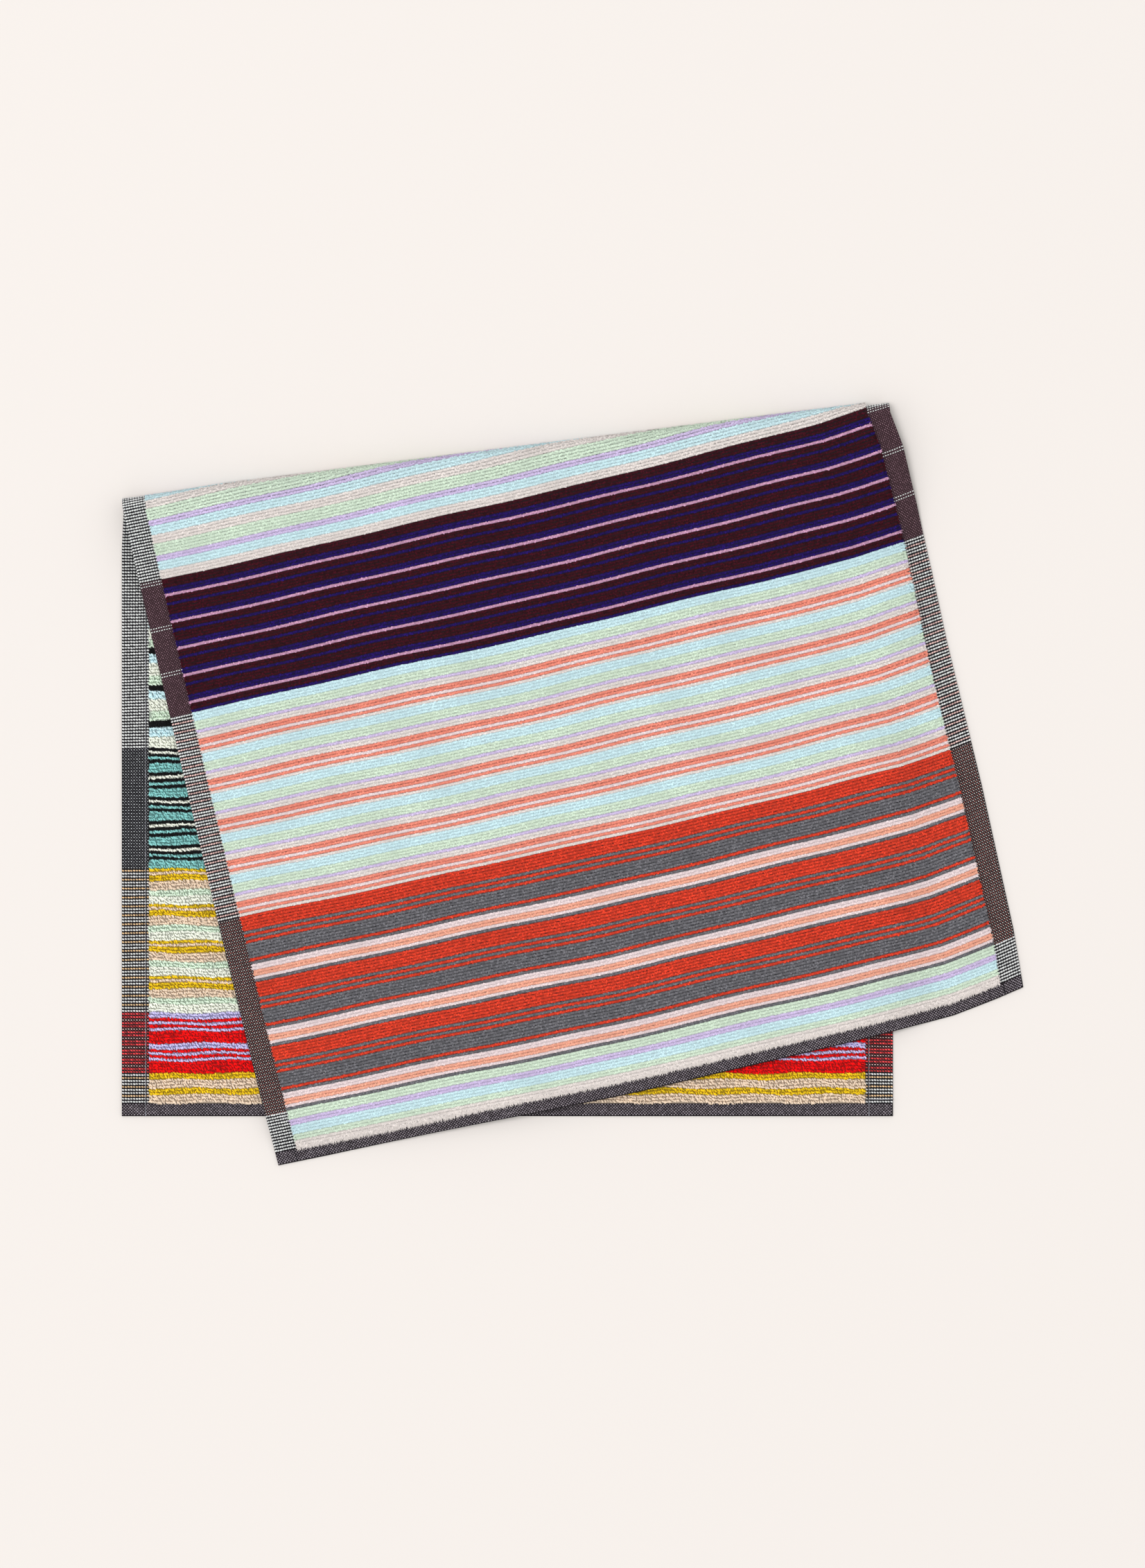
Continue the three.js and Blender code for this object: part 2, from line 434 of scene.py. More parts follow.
out_sheet = directions_at(across_sheet, length_sheet)[2]
face_height, back_height = ground_sides(across_sheet, length_sheet)
middle_sheet = middle_at(across_sheet, length_sheet)
face_points = middle_sheet + out_sheet * face_height[..., None]
back_points = middle_sheet + out_sheet * back_height[..., None]
column_count, row_count = across_sheet.shape
index = np.arange(column_count * row_count).reshape(column_count, row_count)
under = index + column_count * row_count


def quads(a, b, c, d):
    return np.stack([a, b, c, d], -1).reshape(-1, 4)


face_quads = quads(index[:-1, :-1], index[:-1, 1:], index[1:, 1:], index[1:, :-1])
back_quads = quads(under[:-1, :-1], under[1:, :-1], under[1:, 1:], under[:-1, 1:])
rim_quads = [
    quads(index[:-1, 0], index[1:, 0], under[1:, 0], under[:-1, 0]),
    quads(index[:-1, -1], under[:-1, -1], under[1:, -1], index[1:, -1]),
    quads(index[0, :-1], under[0, :-1], under[0, 1:], index[0, 1:]),
    quads(index[-1, :-1], index[-1, 1:], under[-1, 1:], under[-1, :-1]),
]
ground_places = in_metres(np.concatenate([face_points.reshape(-1, 3), back_points.reshape(-1, 3)]))
ground_faces = np.concatenate([face_quads, back_quads, *rim_quads])
ground_mesh = bpy.data.meshes.new("woven_ground")
ground_mesh.from_pydata(ground_places.tolist(), [], ground_faces.tolist())

# Its colours, a face of the mesh at a time: the hems, the borders, then the panel's rows
BORDER_GROUNDS = {"plum": yarn(56, 38, 43), "rust": yarn(44, 36, 38)}
HEM_GROUND = yarn(30, 25, 29)
BARE_GROUND = 0.75  # the share of a stripe's own colour in the ground under its tufts; the rest is painted shade
LOOP_GROUND = 0.46  # the same under its loops, the rest painted shade between them
TUFTED_FROM = -4.0  # where the tufts start, from the fold
VALLEY_SHADE = 0.3  # how dark the painted shade on the ground is between two rows of tufts
VALLEY_IN_BLACK, VALLEY_LOSS, VALLEY_IN_WHITE = 2.9, 3.7, 0.5  # the painted shade is stronger in deep dyes
UNSEEN = 9.0  # how far in from the flap's edges the loops' ground is out of sight

across_middle = (across_sheet[:-1, :-1] + across_sheet[1:, 1:]) / 2
length_middle = (length_sheet[:-1, :-1] + length_sheet[1:, 1:]) / 2
row_middle = np.clip(row_at(across_middle, length_middle).astype(int), 0, PANEL_ROWS - 1)
place_middle = (middle_sheet[:-1, :-1] + middle_sheet[1:, 1:]) / 2
in_hem = (length_middle < HEM_DEPTH) | (length_middle > whole_length(across_middle) - HEM_DEPTH)
tufted = length_middle > lower_length(across_middle) + TUFTED_FROM
# Painted shade: under the tufts and the loops the ground's colour is darkened towards the dark yarn
bare = between(YARNS["ground"], FACE_ROWS[row_middle], BARE_GROUND)
face_colours = np.where(tufted[..., None], bare, FACE_ROWS[row_middle])
covered = hidden(place_middle, UNSEEN)
looped = (length_middle < lower_length(across_middle)) & ~covered
shaded = between(YARNS["ground"], BACK_ROWS[row_middle], LOOP_GROUND)
back_colours = np.where(looped[..., None], shaded, BACK_ROWS[row_middle])
for colours, rows, panel_half in (
    (back_colours, back_rows, BACK_HALF),
    (face_colours, face_rows, FACE_HALF),
):
    woven = np.array([BORDER_GROUNDS.get(style, YARNS["ground"]) for name, style in rows])
    in_border = abs(across_middle) > panel_half
    colours[in_border] = woven[row_middle[in_border]]
    colours[in_hem] = HEM_GROUND
rim_colours = np.tile(YARNS["ground"], (len(ground_faces) - 2 * in_hem.size, 1))
all_colours = np.concatenate([face_colours.reshape(-1, 4), back_colours.reshape(-1, 4), rim_colours])
past_sheet = fold_lengths(across_sheet, length_sheet)
near_fold = eased(past_sheet, -0.5, 0) * (1 - eased(past_sheet, 1, 3))  # painted shade, deeper between rows that bend
# Painted shade: the ground is darkened in the hollows between rows of tufts, most round the fold and in
# deep dyes
painted_valley_shade = VALLEY_SHADE * ridge_drop(across_sheet, length_sheet) / RIDGE * (1 + near_fold)
painted_valley_shade = np.concatenate([painted_valley_shade.ravel(), 0 * painted_valley_shade.ravel()])[ground_faces]
paleness = all_colours[:, :3].mean(1, keepdims=True)
painted_valley_shade = painted_valley_shade * np.maximum(VALLEY_IN_BLACK - VALLEY_LOSS * paleness, VALLEY_IN_WHITE)
painted_valley_shade[: tufted.size] *= (tufted & ~in_hem & ~in_border).reshape(-1, 1)
yarn_layer = ground_mesh.color_attributes.new("yarn", "FLOAT_COLOR", "CORNER")
yarn_layer.data.foreach_set("color", np.repeat(all_colours, 4, 0).ravel())
painted_shade_layer = ground_mesh.attributes.new("painted_valley_shade", "FLOAT", "CORNER")
painted_shade_layer.data.foreach_set("value", painted_valley_shade.ravel())

# Its map lays the face and the back side by side, flat as they were woven
MAP_SHARE = 0.48
plan_u = MAP_SHARE * share_across(across_sheet)
plan_v = length_sheet / whole_length(across_sheet)
plan_sides = [np.stack([plan_u, plan_v], -1), np.stack([1 - plan_u, plan_v], -1)]
plan_all = np.concatenate(plan_sides).reshape(-1, 2)
ground_map = ground_mesh.uv_layers.new(name="OFBake")
ground_map.data.foreach_set("uv", plan_all[ground_faces.ravel()].ravel())
ground_mesh.polygons.foreach_set("use_smooth", np.ones(len(ground_faces), bool))
woven_ground = placed("woven_ground", ground_mesh)


def add_node(tree, kind, inputs=None, **settings):
    made = tree.nodes.new(kind)
    for key, value in settings.items():
        setattr(made, key, value)
    fill_inputs(made, inputs or {})
    return made


def vector_math(tree, operation, inputs):
    return add_node(tree, "ShaderNodeVectorMath", inputs, operation=operation).outputs["Vector"]


def remapped(tree, value, start, end, low, high):
    """A value moved from the range between start and end to the one between low and high."""
    limits = {"Value": value, "From Min": start, "From Max": end, "To Min": low, "To Max": high}
    return add_node(tree, "ShaderNodeMapRange", limits).outputs["Result"]


def yarn_material(name, roughness, sheen, fibre_scale, fibre_depth, unevenness):
    """Dyed cotton: each yarn's own colour, uneven in the dye, with fine fibres and a soft sheen."""
    material = bpy.data.materials.new(name)
    material.use_nodes = True
    tree = material.node_tree
    colour = add_node(tree, "ShaderNodeAttribute", attribute_name="yarn")
    place = add_node(tree, "ShaderNodeTexCoord").outputs["Object"]
    dye = add_node(tree, "ShaderNodeTexNoise", {"Vector": place, "Scale": 900, "Detail": 3})
    strength = remapped(tree, dye.outputs["Fac"], 0.3, 0.7, 1 - unevenness, 1 + unevenness)
    fibres = add_node(tree, "ShaderNodeTexNoise", {"Vector": place, "Scale": fibre_scale, "Detail": 4})
    fuzz = {"Height": fibres.outputs["Fac"], "Strength": 0.6, "Distance": fibre_depth}
    finish = {
        "Base Color": vector_math(tree, "SCALE", {0: colour.outputs["Color"], "Scale": strength}),
        "Roughness": roughness,
        "Specular IOR Level": 0.1,
        "Sheen Weight": sheen,
        "Sheen Roughness": 0.6,
        "Normal": add_node(tree, "ShaderNodeBump", fuzz).outputs["Normal"],
    }
    fill_inputs(tree.nodes["Principled BSDF"], finish)
    return material


def paint_valley_shade(material):
    """Paints shade on the ground between rows of tufts in short uneven streaks, darkening it towards the
    dark yarn as deep as the attribute of painted shade between rows says.
    """
    tree = material.node_tree
    shader = tree.nodes["Principled BSDF"]
    place = add_node(tree, "ShaderNodeTexCoord").outputs["Object"]
    shade_breakup = add_node(tree, "ShaderNodeTexNoise", {"Vector": place, "Scale": 1100, "Detail": 2})
    shade_dashes = remapped(tree, shade_breakup.outputs["Fac"], 0.52, 0.68, 0.75, 2.6)
    painted_shade_depth = add_node(tree, "ShaderNodeAttribute", attribute_name="painted_valley_shade")
    shares = {0: shade_dashes, 1: painted_shade_depth.outputs["Fac"]}
    painted_shade_share = add_node(tree, "ShaderNodeMath", shares, operation="MULTIPLY", use_clamp=True)
    colours = {
        "Fac": painted_shade_share.outputs["Value"],
        "Color1": shader.inputs["Base Color"].links[0].from_socket,
        "Color2": YARNS["ground"],
    }
    darkened = add_node(tree, "ShaderNodeMixRGB", colours)
    fill_inputs(shader, {"Base Color": darkened.outputs["Color"]})


ground_cotton = yarn_material(
    "ground_cotton", roughness=0.95, sheen=0.05, fibre_scale=1500, fibre_depth=0.0004, unevenness=0.1
)
paint_valley_shade(ground_cotton)
ground_mesh.materials.append(ground_cotton)


# The velour pile: loops sheared to short soft tufts, a row of them for each pick of the weave. Each tuft
# stands on the ground and leans a little its own way, and the rows wrap round the fold.
TUFT_PITCH = 0.74
TUFT_SIZE = (0.76, 0.76, 0.95)  # half its width along the row, half its width across, and its height
TUFT_SHIFT = 0.26  # how far a tuft strays along its row
TUFT_SPREAD = 0.5  # and to either side of it
TUFT_SPLAY = 0.5  # how much the tufts beside a row lean outwards
TUFT_LEAN = 0.14
TUFT_FOOT = 0.15  # how deep a tuft stands in the ground
ROW_MIDDLE = 0.6  # the share of the spread inside which no tuft is missing
MISSING = 0.2  # the share of the others that is, where the ground, darkened as painted shade, shows as specks
FOLD_LIFT = 0.25  # round the fold the tufts stand higher and are shorter by this share
FOLD_SHORTER = 0.35
# how strong the painted sheen and shade of the patches in the pile is
BRUSHED_SHEEN = 0.05
PILE_START = -1.0  # where the first tufts stand, from the fold
PILE_PIECES = 3


def named_vector(tree, name):
    kind = "GeometryNodeInputNamedAttribute"
    return add_node(tree, kind, {"Name": name}, data_type="FLOAT_VECTOR").outputs["Attribute"]


def stored(tree, geometry, name, kind, domain, value):
    inputs = {"Geometry": geometry, "Name": name, "Value": value}
    store = add_node(tree, "GeometryNodeStoreNamedAttribute", inputs, data_type=kind, domain=domain)
    return store.outputs["Geometry"]


def tuft_stem(tree, given):
    """A short tuft of cut yarn: a closed foot and sides that draw in to a tip."""
    cone = {
        "Vertices": given["Sides"],
        "Radius Bottom": given["Foot"],
        "Radius Top": given["Tip"],
        "Depth": given["Rise"],
    }
    return add_node(tree, "GeometryNodeMeshCone", cone, fill_type="NGON").outputs["Mesh"]


def loop_stem(tree, given):
    """A loop of yarn: an arch that rises from the ground and returns to it."""
    crown = add_node(tree, "ShaderNodeCombineXYZ", {"Z": given["Rise"]})
    line = {"Middle": crown.outputs["Vector"], "Resolution": 3}
    for name, side in (("Start", -0.5), ("End", 0.5)):
        line[name] = vector_math(tree, "SCALE", {0: (side, 0, 0), "Scale": given["Foot"]})
    arch = add_node(tree, "GeometryNodeCurveQuadraticBezier", line)
    ring = {"Resolution": given["Sides"], "Radius": given["Tip"]}
    section = add_node(tree, "GeometryNodeCurvePrimitiveCircle", ring)
    strand = {
        "Curve": arch.outputs["Curve"],
        "Profile Curve": section.outputs["Curve"],
        "Fill Caps": True,
    }
    return add_node(tree, "GeometryNodeCurveToMesh", strand).outputs["Mesh"]


MAP_SPREAD = (0.7, 0.7, 0)  # how large a yarn end is in its piece's map, beside its place in the cloth


def yarn_tree(name, stem):
    """A tree that stands one end or loop of yarn on each point, turned and sized as the point says."""
    tree = bpy.data.node_groups.new(name, "GeometryNodeTree")
    tree.interface.new_socket("Geometry", in_out="OUTPUT", socket_type="NodeSocketGeometry")
    for socket, kind in (
        ("Geometry", "Geometry"),
        ("Sides", "Int"),
        ("Foot", "Float"),
        ("Tip", "Float"),
        ("Rise", "Float"),
        ("Sway", "Vector"),
        ("Uneven", "Float"),
        ("Seed", "Int"),
        ("Finish", "Material"),
    ):
        tree.interface.new_socket(socket, in_out="INPUT", socket_type=f"NodeSocket{kind}")
    given = add_node(tree, "NodeGroupInput").outputs
    place = add_node(tree, "GeometryNodeInputPosition").outputs["Position"]
    end_of_yarn = stored(tree, stem(tree, given), "local", "FLOAT_VECTOR", "POINT", place)

    axes = {"Primary Axis": named_vector(tree, "out"), "Secondary Axis": named_vector(tree, "along")}
    facing = add_node(tree, "FunctionNodeAxesToRotation", axes, primary_axis="Z", secondary_axis="X")
    other_way = vector_math(tree, "SCALE", {0: given["Sway"], "Scale": -1})
    sway = {"Min": other_way, "Max": given["Sway"], "Seed": given["Seed"]}
    lean = add_node(tree, "FunctionNodeRandomValue", sway, data_type="FLOAT_VECTOR")
    leaning = add_node(tree, "FunctionNodeEulerToRotation", {"Euler": lean.outputs["Value"]})
    turns = {"Rotation": facing.outputs["Rotation"], "Rotate By": leaning.outputs["Rotation"]}
    turned = add_node(tree, "FunctionNodeRotateRotation", turns, rotation_space="LOCAL")

    smallest = add_node(tree, "ShaderNodeMath", {0: 1, 1: given["Uneven"]}, operation="SUBTRACT")
    largest = add_node(tree, "ShaderNodeMath", {0: 1, 1: given["Uneven"]}, operation="ADD")
    limits = {2: smallest.outputs["Value"], 3: largest.outputs["Value"], "Seed": given["Seed"]}
    growth = add_node(tree, "FunctionNodeRandomValue", limits, data_type="FLOAT")

    ends = {
        "Points": given["Geometry"],
        "Instance": end_of_yarn,
        "Rotation": turned.outputs["Rotation"],
        "Scale": vector_math(tree, "SCALE", {0: named_vector(tree, "size"), "Scale": growth.outputs[1]}),
    }
    standing = add_node(tree, "GeometryNodeInstanceOnPoints", ends)
    whole = add_node(tree, "GeometryNodeRealizeInstances", {"Geometry": standing.outputs["Instances"]})
    smooth = add_node(tree, "GeometryNodeSetShadeSmooth", {"Geometry": whole.outputs["Geometry"]})
    own_place = {0: named_vector(tree, "local"), 1: named_vector(tree, "size")}
    spread = {
        0: vector_math(tree, "MULTIPLY", own_place),
        1: MAP_SPREAD,
        2: named_vector(tree, "plan"),
    }
    spot = vector_math(tree, "MULTIPLY_ADD", spread)
    mapped = stored(tree, smooth.outputs["Geometry"], "OFBake", "FLOAT2", "CORNER", spot)
    finish = add_node(tree, "GeometryNodeSetMaterial", {"Geometry": mapped, "Material": given["Finish"]})
    add_node(tree, "NodeGroupOutput", {"Geometry": finish.outputs["Geometry"]})
    return tree


soft_pieces = []


def plant(name, tree, sizes, points, softness=0.6):
    """Plants a yarn end on every point and keeps the result as one plain mesh object. Softness turns
    its shading towards the cloth's own, since light comes through fine fibres."""
    seeds = bpy.data.meshes.new(name)
    seeds.vertices.add(len(points["place"]))
    seeds.vertices.foreach_set("co", in_metres(points["place"]).ravel())
    for key in ("out", "along", "above", "size", "plan"):
        seeds.attributes.new(key, "FLOAT_VECTOR", "POINT").data.foreach_set("vector", points[key].ravel())
    seeds.attributes.new("yarn", "FLOAT_COLOR", "POINT").data.foreach_set("color", points["yarn"].ravel())
    piece = placed(name, seeds)
    modifier = piece.modifiers.new("yarns", "NODES")
    modifier.node_group = tree
    for item in tree.interface.items_tree:
        if item.in_out == "INPUT" and item.name in sizes:
            modifier[item.identifier] = sizes[item.name]
    graph = bpy.context.evaluated_depsgraph_get()
    whole = bpy.data.meshes.new_from_object(piece.evaluated_get(graph))
    piece.modifiers.remove(modifier)
    piece.data = whole
    bpy.data.meshes.remove(seeds)
    whole.name = name
    standing, own = np.empty((2, 3 * len(whole.vertices)), np.float32)
    whole.attributes["above"].data.foreach_get("vector", standing)
    whole.vertex_normals.foreach_get("vector", own)
    facing = unit(between(own, standing, softness).reshape(-1, 3))
    whole.normals_split_custom_set_from_vertices(facing.tolist())
    for key in ("out", "along", "above", "size", "plan", "local"):
        if key in whole.attributes:
            whole.attributes.remove(whole.attributes[key])
    spots = np.empty(2 * len(whole.loops), np.float32)
    whole.uv_layers["OFBake"].uv.foreach_get("vector", spots)
    spots = spots.reshape(-1, 2)
    spots = (spots - spots.min(0)) / (spots.max(0) - spots.min(0))
    whole.uv_layers["OFBake"].uv.foreach_set("vector", spots.ravel())
    soft_pieces.append(piece)


def ground_at(across, length):
    """The middle surface and its directions as the ground's mesh has them, straight between columns."""
    right = np.clip(np.searchsorted(sheet_columns, across), 1, len(sheet_columns) - 1)
    left, right = sheet_columns[right - 1], sheet_columns[right]
    from_end = whole_length(across) - length
    ends = []
    for column in (left, right):
        own = row_length(column, row_at(across, length))
        own = np.where(length < HEM_DEPTH, length, own)
        own = np.where(from_end < HEM_DEPTH, whole_length(column) - from_end, own)
        ends.append((middle_at(column, own), *directions_at(column, own)))
    share = ((across - left) / (right - left))[:, None]
    return [between(here, there, share) for here, there in zip(*ends)]


def yarn_points(across, length, side, height, lean, size, colour):
    """Where yarn ends stand: side is 1 on the face and -1 on the back, height is over the middle
    surface, and lean is along a row, then along the cloth."""
    middle, along, onward, out = ground_at(across, length)
    upward = unit(out * side + along * lean[0][..., None] + onward * lean[1][..., None])
    place = middle + out * side * np.asarray(height)[..., None]
    plan = np.stack([across, length, 0 * across], -1) * MM
    return {
        "place": place,
        "out": upward,
        "along": along,
        "above": out * side,
        "size": np.asarray(size) * MM,
        "plan": plan,
        "yarn": colour,
    }


def kept(points, chosen):
    return {key: values[chosen] for key, values in points.items()}


def every_pair(rows, columns):
    """Each row with each column, row after row: a list of rows and a list of columns."""
    rows, columns = np.meshgrid(rows, columns, indexing="ij")
    return rows.ravel(), columns.ravel()


def even_sizes(width, heights):
    """Sizes of ends that are as wide along their row as across it, from half the width and the heights."""
    return np.stack([np.full(len(heights), width)] * 2 + [heights], -1)


DEEP_DYES = 9  # how much more the deepest dyes vary than the palest


def dyed(colours, spread, seed):
    """Colours with a small difference in strength from yarn to yarn, and more of it in deep dyes."""
    draw = np.random.default_rng(seed)
    depth = spread * (1 + DEEP_DYES * (1 - colours[:, :3].mean(1, keepdims=True)) ** 2)
    strength = 1 + depth * draw.uniform(-1, 1, (len(colours), 1))
    return np.concatenate([np.minimum(colours[:, :3] * strength, 1), colours[:, 3:]], 1)


def brushed_sheen(across, length, depth):
    """Painted sheen and shade: soft lighter and darker patches where the pile's nap lies another way and
    takes the light differently, small ones and broader ones, each bent by a wave across it. Divisors are
    millimetres for a radian."""
    small = np.sin(across / 7.1 + 1.9 * np.sin(length / 11.3))
    small = small * np.sin(length / 6.7 + 1.7 * np.sin(across / 13.9))
    broad = np.sin(across / 17.3 - length / 9.1 + 2 * np.sin(across / 23 + length / 31))
    return 1 + depth * (small + 0.7 * broad)


def cut_ends(sides, sway, uneven, seed, finish):
    """The inputs for cut ends of yarn, cones with a foot and a height of one unit: the points hold their
    sizes. Sway is the most that an end leans each way and turns."""
    return {
        "Sides": sides,
        "Foot": 1.0,
        "Tip": 0.0,
        "Rise": 1.0,
        "Sway": sway,
        "Uneven": uneven,
        "Seed": seed,
        "Finish": finish,
    }


tuft_tree = yarn_tree("standing_yarns", tuft_stem)
loop_tree = yarn_tree("looped_yarns", loop_stem)
velour_cotton = yarn_material(
    "velour_cotton", roughness=0.95, sheen=0.1, fibre_scale=1500, fibre_depth=0.0009, unevenness=0.12
)

draw = np.random.default_rng(7)
tufts_across = round(2 * FACE_HALF / TUFT_PITCH)
tuft_rows, tuft_columns = every_pair(np.arange(FIRST_TUFTS, PANEL_ROWS), np.arange(tufts_across))
tuft_across = (tuft_columns + 0.5) * (2 * FACE_HALF / tufts_across) - FACE_HALF
tuft_across = tuft_across + draw.uniform(-TUFT_SHIFT, TUFT_SHIFT, len(tuft_across))
tuft_off = draw.uniform(-TUFT_SPREAD, TUFT_SPREAD, len(tuft_across))
tuft_length = row_length(tuft_across, tuft_rows + 0.5) + tuft_off
on_show = tuft_length > lower_length(tuft_across) + PILE_START
on_show &= (abs(tuft_off) < ROW_MIDDLE * TUFT_SPREAD) | (draw.random(len(tuft_off)) > MISSING)
tuft_across, tuft_length, tuft_rows = tuft_across[on_show], tuft_length[on_show], tuft_rows[on_show]
tuft_lean = draw.normal(0, TUFT_LEAN, (2, len(tuft_across)))
tuft_lean[1] += TUFT_SPLAY * tuft_off[on_show] / TUFT_SPREAD
tuft_root = REST - PILE_DEPTH - TUFT_FOOT - pressed(tuft_across, tuft_length)
tuft_root = tuft_root - ridge_drop(tuft_across, tuft_length)
past_start = fold_lengths(tuft_across, tuft_length)
flattened = eased(past_start, -0.5, 0) * (1 - eased(past_start, 1, 1.6))
tuft_root = tuft_root + FOLD_LIFT * flattened
tuft_size = np.array(TUFT_SIZE) * even_sizes(1, 1 - FOLD_SHORTER * flattened)
tuft_colours = dyed(FACE_ROWS[tuft_rows], spread=0.06, seed=11)
# Painted sheen and shade in the tufts' colours, where the pile's nap lies another way
tuft_colours[:, :3] *= brushed_sheen(tuft_across, tuft_length, BRUSHED_SHEEN)[:, None]
tuft_points = yarn_points(tuft_across, tuft_length, 1, tuft_root, tuft_lean, tuft_size, tuft_colours)
velour_ends = cut_ends(sides=3, sway=(0.1, 0.1, 3.14), uneven=0.12, seed=3, finish=velour_cotton)
piece_order = np.sort(tuft_rows)[:: max(len(tuft_rows) // PILE_PIECES, 1)][1:PILE_PIECES]
piece_of_tuft = np.searchsorted(piece_order, tuft_rows, side="right")
for number in range(PILE_PIECES):
    piece_points = kept(tuft_points, piece_of_tuft == number)
    name = f"velour_rows_{number + 1}"
    plant(name, tuft_tree, velour_ends, piece_points, softness=0.75)


# The looped back, where the flap leaves the lower layer bare: uncut loops of the same yarns, fallen over
# every way but mostly to one side, with the ground between them darkened as painted shade.
LOOP_PITCH = 0.95
LAST_LOOPS = 210  # the last row of loops that can show
LOOP_SHIFT, LOOP_SPREAD = 0.25, 0.3  # how far a loop strays along its row, and across it
LOOP_WAVER = 0.5  # and the rows with it, in waves
WAVER_ACROSS, WAVER_ALONG = 6.5, 0.37  # millimetres for a radian, and radians for a row
LOOP_FOOT = 0.1
LOOP_LEAN = 0.25
LOOP_TURN, LOOP_TURN_SPREAD = -50, 15  # degrees from the row
LOOP_EDGE = 0.3
LOOPS_UNSEEN = 7.0  # how far in from the flap's edges the loops are out of sight
loop_cotton = yarn_material(
    "loop_cotton", roughness=0.9, sheen=0.05, fibre_scale=2200, fibre_depth=0.0003, unevenness=0.1
)
loops_across = round(2 * BACK_HALF / LOOP_PITCH)
loop_rows, loop_columns = every_pair(np.arange(LAST_LOOPS), np.arange(loops_across))
loop_across = (loop_columns + 0.5) * LOOP_PITCH - BACK_HALF
loop_across = loop_across + draw.uniform(-LOOP_SHIFT, LOOP_SHIFT, len(loop_rows))
loop_length = row_length(loop_across, loop_rows + 0.5)
loop_length = loop_length + draw.uniform(-LOOP_SPREAD, LOOP_SPREAD, len(loop_rows))
loop_length = loop_length + LOOP_WAVER * np.sin(loop_across / WAVER_ACROSS + WAVER_ALONG * loop_rows)
on_show = (loop_length < lower_length(loop_across)) & (abs(loop_across) < BACK_HALF - LOOP_EDGE)
on_show &= ~hidden(middle_at(loop_across, loop_length), LOOPS_UNSEEN)
loop_across, loop_length, loop_rows = loop_across[on_show], loop_length[on_show], loop_rows[on_show]
count = len(loop_across)


def turned_along(across, length, turn):
    """The direction along a row, turned by an angle on the cloth."""
    along, onward = directions_at(across, length)[:2]
    return along * np.cos(turn)[:, None] + onward * np.sin(turn)[:, None]


loop_points = yarn_points(
    loop_across,
    loop_length,
    -1,
    np.full(count, REST - LOOP_DEPTH - LOOP_FOOT),
    draw.uniform(-LOOP_LEAN, LOOP_LEAN, (2, count)),
    np.ones((count, 3)) / MM,
    dyed(BACK_ROWS[loop_rows], spread=0.08, seed=5),
)
loop_turn = np.radians(draw.normal(LOOP_TURN, LOOP_TURN_SPREAD, count))
loop_points["along"] = turned_along(loop_across, loop_length, loop_turn)
loop_ends = {
    "Sides": 4,
    "Foot": 1.5 * MM,
    "Tip": 0.43 * MM,
    "Rise": 2.5 * MM,
    "Sway": (0.3, 0.1, 0.3),
    "Uneven": 0.12,
    "Seed": 8,
    "Finish": loop_cotton,
}
for name, chosen in (("terry_loops_left", loop_across < 0), ("terry_loops_right", loop_across >= 0)):
    piece_points = kept(loop_points, chosen)
    plant(name, loop_tree, loop_ends, piece_points, softness=0.15)


# The long borders, woven flat in black with floats of white or coloured yarn over them, a row of floats
# for each pick of the weave. Their style changes with the stripes beside them.
FLOAT_PITCH = 1.4
FLOAT_SIZE = (0.76, 0.5, 0.46)  # half its length, half its width, and its rise
FLOAT_TILT, TILT_SPREAD = 0.3, 0.08
FLOAT_SHIFT, FLOAT_SPREAD = 0.05, 0.06  # how far a float strays along its row, and across it
FLOAT_FOOT = 0.03
FLOAT_UNEVEN = 0.08
FACE_FLOATS_FROM, BACK_FLOATS_TO = -2.0, 5.0  # from the fold
BANDS_UNSEEN = 5.0  # how far in from the flap's edges the borders, hems and seams are out of sight
LAST_BACK_FLOATS = 230  # the last row of floats that can show on the back
YARNS["rose"] = yarn(214, 178, 172)
YARNS["sand"] = yarn(226, 190, 146)
YARNS["dusk"] = yarn(142, 112, 122)
YARNS["bone"] = yarn(206, 196, 190)
YARNS["clay"] = yarn(194, 126, 116)
YARNS["ash"] = yarn(194, 198, 200)
YARNS["scarlet"] = yarn(214, 66, 69)
BORDER_STYLES = {  # rows, yarn and share of a full float, then those of the dots between the floats
    "light": ((1, "white", 1.0, "white", 0),),
    "blush": ((2, "white", 1.0, "white", 0), (1, "rose", 0.95, "white", 0)),
    "plum": ((2, "white", 0.68, "dusk", 0.3), (13, "dusk", 0.44, "dusk", 0.36)),
    "rust": ((1, "bone", 0.5, "clay", 0.42),),
    "red": ((2, "scarlet", 0.95, "scarlet", 0.32), (1, "rose", 0.62, "scarlet", 0.32)),
    "gold": ((2, "white", 0.95, "white", 0), (1, "sand", 0.9, "white", 0)),
    "night": ((1, "ash", 0.5, "grey", 0.42),),
}
weave_cotton = yarn_material(
    "weave_cotton", roughness=0.85, sheen=0.05, fibre_scale=3000, fibre_depth=0.0002, unevenness=0.06
)


def side_height(across, length, side):
    """How far the ground's face, or its back, lies from the middle surface."""
    face, back = ground_sides(across, length)
    return face if side > 0 else -back


def border_row(rows, row):
    """What a row of a border is woven with, as its style says."""
    style = rows[row][1]
    first = row
    while first > 0 and rows[first - 1][1] == style:
        first -= 1
    repeat = [entry for entry in BORDER_STYLES[style] for _ in range(entry[0])]
    return repeat[(row - first) % len(repeat)]


